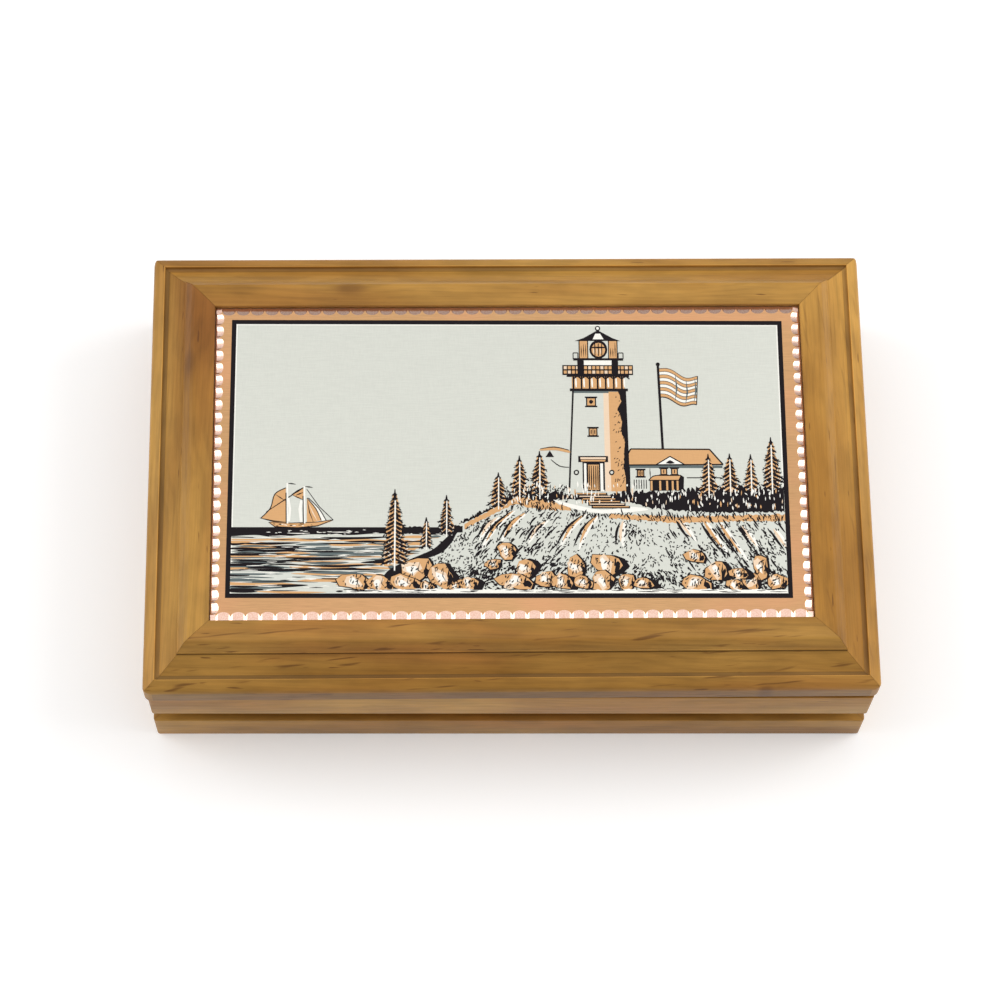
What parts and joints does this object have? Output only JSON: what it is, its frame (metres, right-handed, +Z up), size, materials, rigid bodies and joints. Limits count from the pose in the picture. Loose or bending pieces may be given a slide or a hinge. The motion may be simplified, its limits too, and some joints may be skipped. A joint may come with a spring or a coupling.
{
  "type": "keepsake box",
  "caption": "Shallow hinged wooden keepsake box with a mitred moulded lid that frames an etched copper picture plate, and a lined interior.",
  "frame": {"origin": "middle of the underside of the body, on the plane that it stands on", "axes": "+X to the right seen from the front, +Y to the hinged back, +Z up; the front faces -Y"},
  "size_m": [0.2104, 0.1364, 0.0539],
  "materials": {
    "frame_wood": "honey-coloured alder or pine, clear satin lacquer",
    "box_wood": "honey-coloured alder or pine, clear satin lacquer",
    "panel_board": "unfinished thin plywood or hardboard",
    "felt": "dark brown pressed felt",
    "velvet": "short-pile wine red velvet on card",
    "etched_copper": "etched copper with black fill and silvered field, clear lacquered",
    "hinge_brass": "plated brass, satin",
    "screw_brass": "plated brass",
    "pin_steel": "bright steel wire and strip"
  },
  "bodies": {
    "body": {"carcass_front": "box_wood", "carcass_back": "box_wood", "carcass_left": "box_wood", "carcass_right": "box_wood", "plinth_front": "box_wood", "plinth_back": "box_wood", "plinth_left": "box_wood", "plinth_right": "box_wood", "band_front": "box_wood", "band_back": "box_wood", "band_left": "box_wood", "band_right": "box_wood", "bottom_panel": "panel_board", "underside_felt": "felt", "floor_lining": "velvet", "hinge_left_body_leaf": "hinge_brass", "hinge_right_body_leaf": "hinge_brass", "hinge_left_pin": "pin_steel", "hinge_right_pin": "pin_steel", "body_hinge_screws": "screw_brass", "carcass_brads": "pin_steel"},
    "lid": {"lid_rail_front": "frame_wood", "lid_rail_back": "frame_wood", "lid_rail_left": "frame_wood", "lid_rail_right": "frame_wood", "copper_plate": "etched_copper", "backing_board": "panel_board", "lid_lining": "velvet", "lid_corner_vnails": "pin_steel", "backing_points": "pin_steel", "hinge_left_lid_leaf": "hinge_brass", "hinge_right_lid_leaf": "hinge_brass", "lid_hinge_screws": "screw_brass"}
  },
  "joints": [
    {"name": "lid_hinge", "type": "hinge", "parent": "body", "child": "lid", "pos_m": [0, 0.0662, 0.0369], "axis": [-1, 0, 0], "range_deg": [0, 98]}
  ]
}
